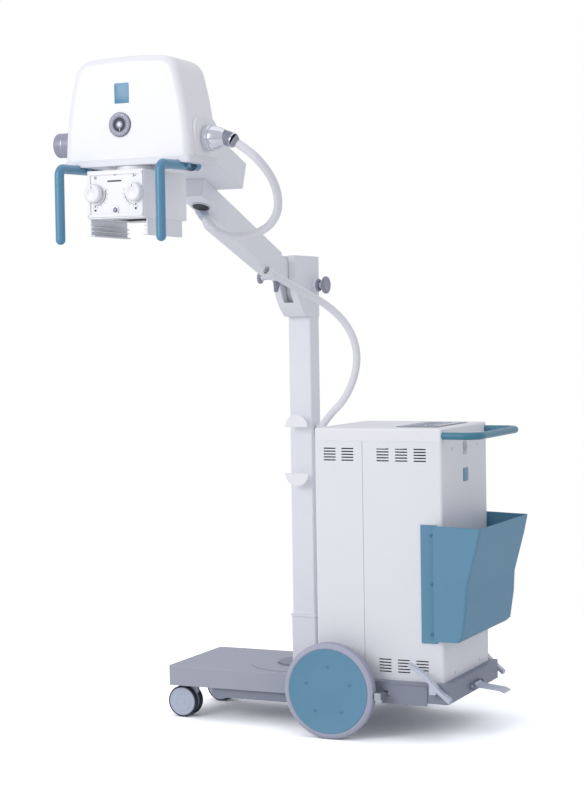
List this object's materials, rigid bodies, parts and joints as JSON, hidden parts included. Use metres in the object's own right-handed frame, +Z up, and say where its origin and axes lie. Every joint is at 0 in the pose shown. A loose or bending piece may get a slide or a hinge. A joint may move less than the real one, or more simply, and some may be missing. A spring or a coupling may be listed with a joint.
{
  "type": "mobile x-ray machine",
  "caption": "Mobile x-ray machine: wheeled cabinet with a swivelling column, a counterbalanced arm, a tube head with collimator, a cassette pocket and a push handle.",
  "frame": {"origin": "On the floor, under the middle of the axle of the two big wheels.", "axes": "+X points to the rear, where the push handle is; +Y points to the far side, away from the side to which the arm is swung; +Z points up."},
  "size_m": [1.195, 1.676, 2.152],
  "materials": {
    "white_paint": "satin",
    "white_alloy": "satin",
    "white_shell": "satin",
    "teal_shell": "satin",
    "teal_tube": "satin",
    "teal_grip": "satin",
    "grey_casting": "satin",
    "grey_paint": "satin",
    "grey_plastic": "satin",
    "caster_plastic": "satin",
    "pedal_metal": "satin",
    "dark_plastic": "matte",
    "panel_plastic": "gloss",
    "tyre_rubber": "matte",
    "hose_sheath": "satin",
    "bright_metal": "polished",
    "steel": "satin",
    "light_alloy": "satin",
    "iron": "matte",
    "tank_paint": "satin",
    "board": "satin",
    "lead_alloy": "matte"
  },
  "bodies": {
    "base": {"chassis_frame": "grey_paint", "front_platform": "grey_casting", "platform_underpan": "grey_paint", "mains_inlet": "dark_plastic", "ballast_plate": "iron", "column_bearing": "grey_casting", "rear_axle": "steel", "cabinet_front_cover": "white_paint", "cabinet_rear_cover": "white_paint", "cabinet_top_cover": "white_shell", "control_panel": "panel_plastic", "generator_tank": "tank_paint", "power_electronics": "board", "push_handle": "teal_tube", "cassette_holder": "teal_shell", "holder_screws": "teal_tube"},
    "wheel_left": {"wheel_left_tyre": "tyre_rubber", "wheel_left_disc": "teal_shell", "wheel_left_hub": "grey_plastic"},
    "wheel_right": {"wheel_right_tyre": "tyre_rubber", "wheel_right_disc": "teal_shell", "wheel_right_hub": "grey_plastic"},
    "caster_left": {"caster_left_hood": "caster_plastic"},
    "caster_left_pair": {"caster_left_wheels": "tyre_rubber"},
    "caster_right": {"caster_right_hood": "caster_plastic"},
    "caster_right_pair": {"caster_right_wheels": "tyre_rubber"},
    "brake_lever": {"brake_pedals": "pedal_metal"},
    "brake_slide": {"brake_bar": "steel"},
    "step_lever": {"step_pedal": "pedal_metal"},
    "column": {"column_spindle": "grey_paint", "column_tube": "white_alloy", "column_sleeve": "white_alloy", "cord_hooks": "white_shell", "column_head": "white_alloy", "arm_pivot_pin": "steel", "balance_spring": "light_alloy", "column_hose_gland": "white_shell"},
    "arm_clamp": {"pivot_knob": "grey_plastic"},
    "arm": {"arm_beam": "white_alloy", "arm_fittings": "dark_plastic", "arm_end_box": "white_alloy", "hose_lower": "hose_sheath", "hose_upper": "hose_sheath"},
    "arm_lock": {"side_knob": "grey_plastic"},
    "head": {"head_trunnion": "light_alloy", "head_cover": "white_shell", "head_base_plate": "white_alloy", "tube_housing": "light_alloy", "head_dial": "grey_plastic", "hose_elbow": "bright_metal", "head_grips": "teal_grip"},
    "collimator": {"collimator_case": "white_shell", "accessory_rails": "white_alloy"},
    "width_dial": {"knob_width": "white_shell"},
    "length_dial": {"knob_length": "white_shell"},
    "light_switch": {"light_button": "grey_plastic"},
    "shutter_left": {"blade_left": "lead_alloy"},
    "shutter_right": {"blade_right": "lead_alloy"},
    "shutter_front": {"blade_front": "lead_alloy"},
    "shutter_rear": {"blade_rear": "lead_alloy"}
  },
  "joints": [
    {"name": "wheel_left_spin", "type": "hinge", "parent": "base", "child": "wheel_left", "pos_m": [0, -0.312, 0.16], "axis": [0, 1, 0], "continuous": true},
    {"name": "wheel_right_spin", "type": "hinge", "parent": "base", "child": "wheel_right", "pos_m": [0, 0.312, 0.16], "axis": [0, 1, 0], "continuous": true},
    {"name": "caster_left_swivel", "type": "hinge", "parent": "base", "child": "caster_left", "pos_m": [-0.602, -0.149, 0.11], "axis": [0, 0, 1], "continuous": true},
    {"name": "caster_left_spin", "type": "hinge", "parent": "caster_left", "child": "caster_left_pair", "pos_m": [-0.627, -0.149, 0.055], "axis": [0, 1, 0], "continuous": true},
    {"name": "caster_right_swivel", "type": "hinge", "parent": "base", "child": "caster_right", "pos_m": [-0.602, 0.149, 0.11], "axis": [0, 0, 1], "continuous": true},
    {"name": "caster_right_spin", "type": "hinge", "parent": "caster_right", "child": "caster_right_pair", "pos_m": [-0.627, 0.149, 0.055], "axis": [0, 1, 0], "continuous": true},
    {"name": "brake_pedal", "type": "hinge", "parent": "base", "child": "brake_lever", "pos_m": [0.352, 0, 0.172], "axis": [0, 1, 0], "range_deg": [0, 8]},
    {"name": "brake_bar_slide", "type": "slide", "parent": "base", "child": "brake_slide", "axis": [1, 0, 0], "range_m": [-0.0038, 0]},
    {"name": "step_pedal_hinge", "type": "hinge", "parent": "base", "child": "step_lever", "pos_m": [0.404, 0, 0.152], "axis": [0, 1, 0], "range_deg": [0, 12], "stiffness_Nm_per_rad": 2, "springref_deg": -14.32},
    {"name": "column_turn", "type": "hinge", "parent": "base", "child": "column", "pos_m": [-0.24, 0, 0.19], "axis": [0, 0, 1], "range_deg": [-225, 45]},
    {"name": "arm_clamp_turn", "type": "hinge", "parent": "column", "child": "arm_clamp", "pos_m": [-0.13, 0, 1.508], "axis": [1, 0, 0], "range_deg": [-90, 90]},
    {"name": "arm_tilt", "type": "hinge", "parent": "column", "child": "arm", "pos_m": [-0.215, 0, 1.508], "axis": [1, 0, 0], "range_deg": [-20, 25], "deforming": ["hose_lower"]},
    {"name": "arm_lock_turn", "type": "hinge", "parent": "arm", "child": "arm_lock", "pos_m": [-0.26, -0.19957, 1.53275], "axis": [1, 0, 0], "range_deg": [-90, 90]},
    {"name": "head_tilt", "type": "hinge", "parent": "arm", "child": "head", "pos_m": [-0.215, -0.91567, 1.90725], "axis": [1, 0, 0], "range_deg": [-30, 30], "deforming": ["hose_upper"]},
    {"name": "collimator_turn", "type": "hinge", "parent": "head", "child": "collimator", "pos_m": [-0.215, -1.1655, 1.829], "axis": [0, 0, 1], "range_deg": [-30, 30]},
    {"name": "width_knob_turn", "type": "hinge", "parent": "collimator", "child": "width_dial", "pos_m": [-0.281, -1.3, 1.755], "axis": [0, 1, 0], "range_deg": [0, 90]},
    {"name": "length_knob_turn", "type": "hinge", "parent": "collimator", "child": "length_dial", "pos_m": [-0.149, -1.3, 1.755], "axis": [0, 1, 0], "range_deg": [0, 90]},
    {"name": "light_button_push", "type": "slide", "parent": "collimator", "child": "light_switch", "axis": [0, 1, 0], "range_m": [0, 0.003], "stiffness_N_per_m": 300, "springref_m": -0.002},
    {"name": "shutter_left_slide", "type": "slide", "parent": "collimator", "child": "shutter_left", "axis": [1, 0, 0], "range_m": [0, 0.0208]},
    {"name": "shutter_right_slide", "type": "slide", "parent": "collimator", "child": "shutter_right", "axis": [1, 0, 0], "range_m": [-0.0208, 0]},
    {"name": "shutter_front_slide", "type": "slide", "parent": "collimator", "child": "shutter_front", "axis": [0, 1, 0], "range_m": [0, 0.0208]},
    {"name": "shutter_rear_slide", "type": "slide", "parent": "collimator", "child": "shutter_rear", "axis": [0, 1, 0], "range_m": [-0.0208, 0]}
  ],
  "couplings": [
    {"joint": "brake_bar_slide", "follows": "brake_pedal", "m_per_rad": -0.026},
    {"joint": "shutter_left_slide", "follows": "width_knob_turn", "m_per_rad": 0.012732},
    {"joint": "shutter_right_slide", "follows": "width_knob_turn", "m_per_rad": -0.012732},
    {"joint": "shutter_front_slide", "follows": "length_knob_turn", "m_per_rad": 0.012732},
    {"joint": "shutter_rear_slide", "follows": "length_knob_turn", "m_per_rad": -0.012732}
  ]
}
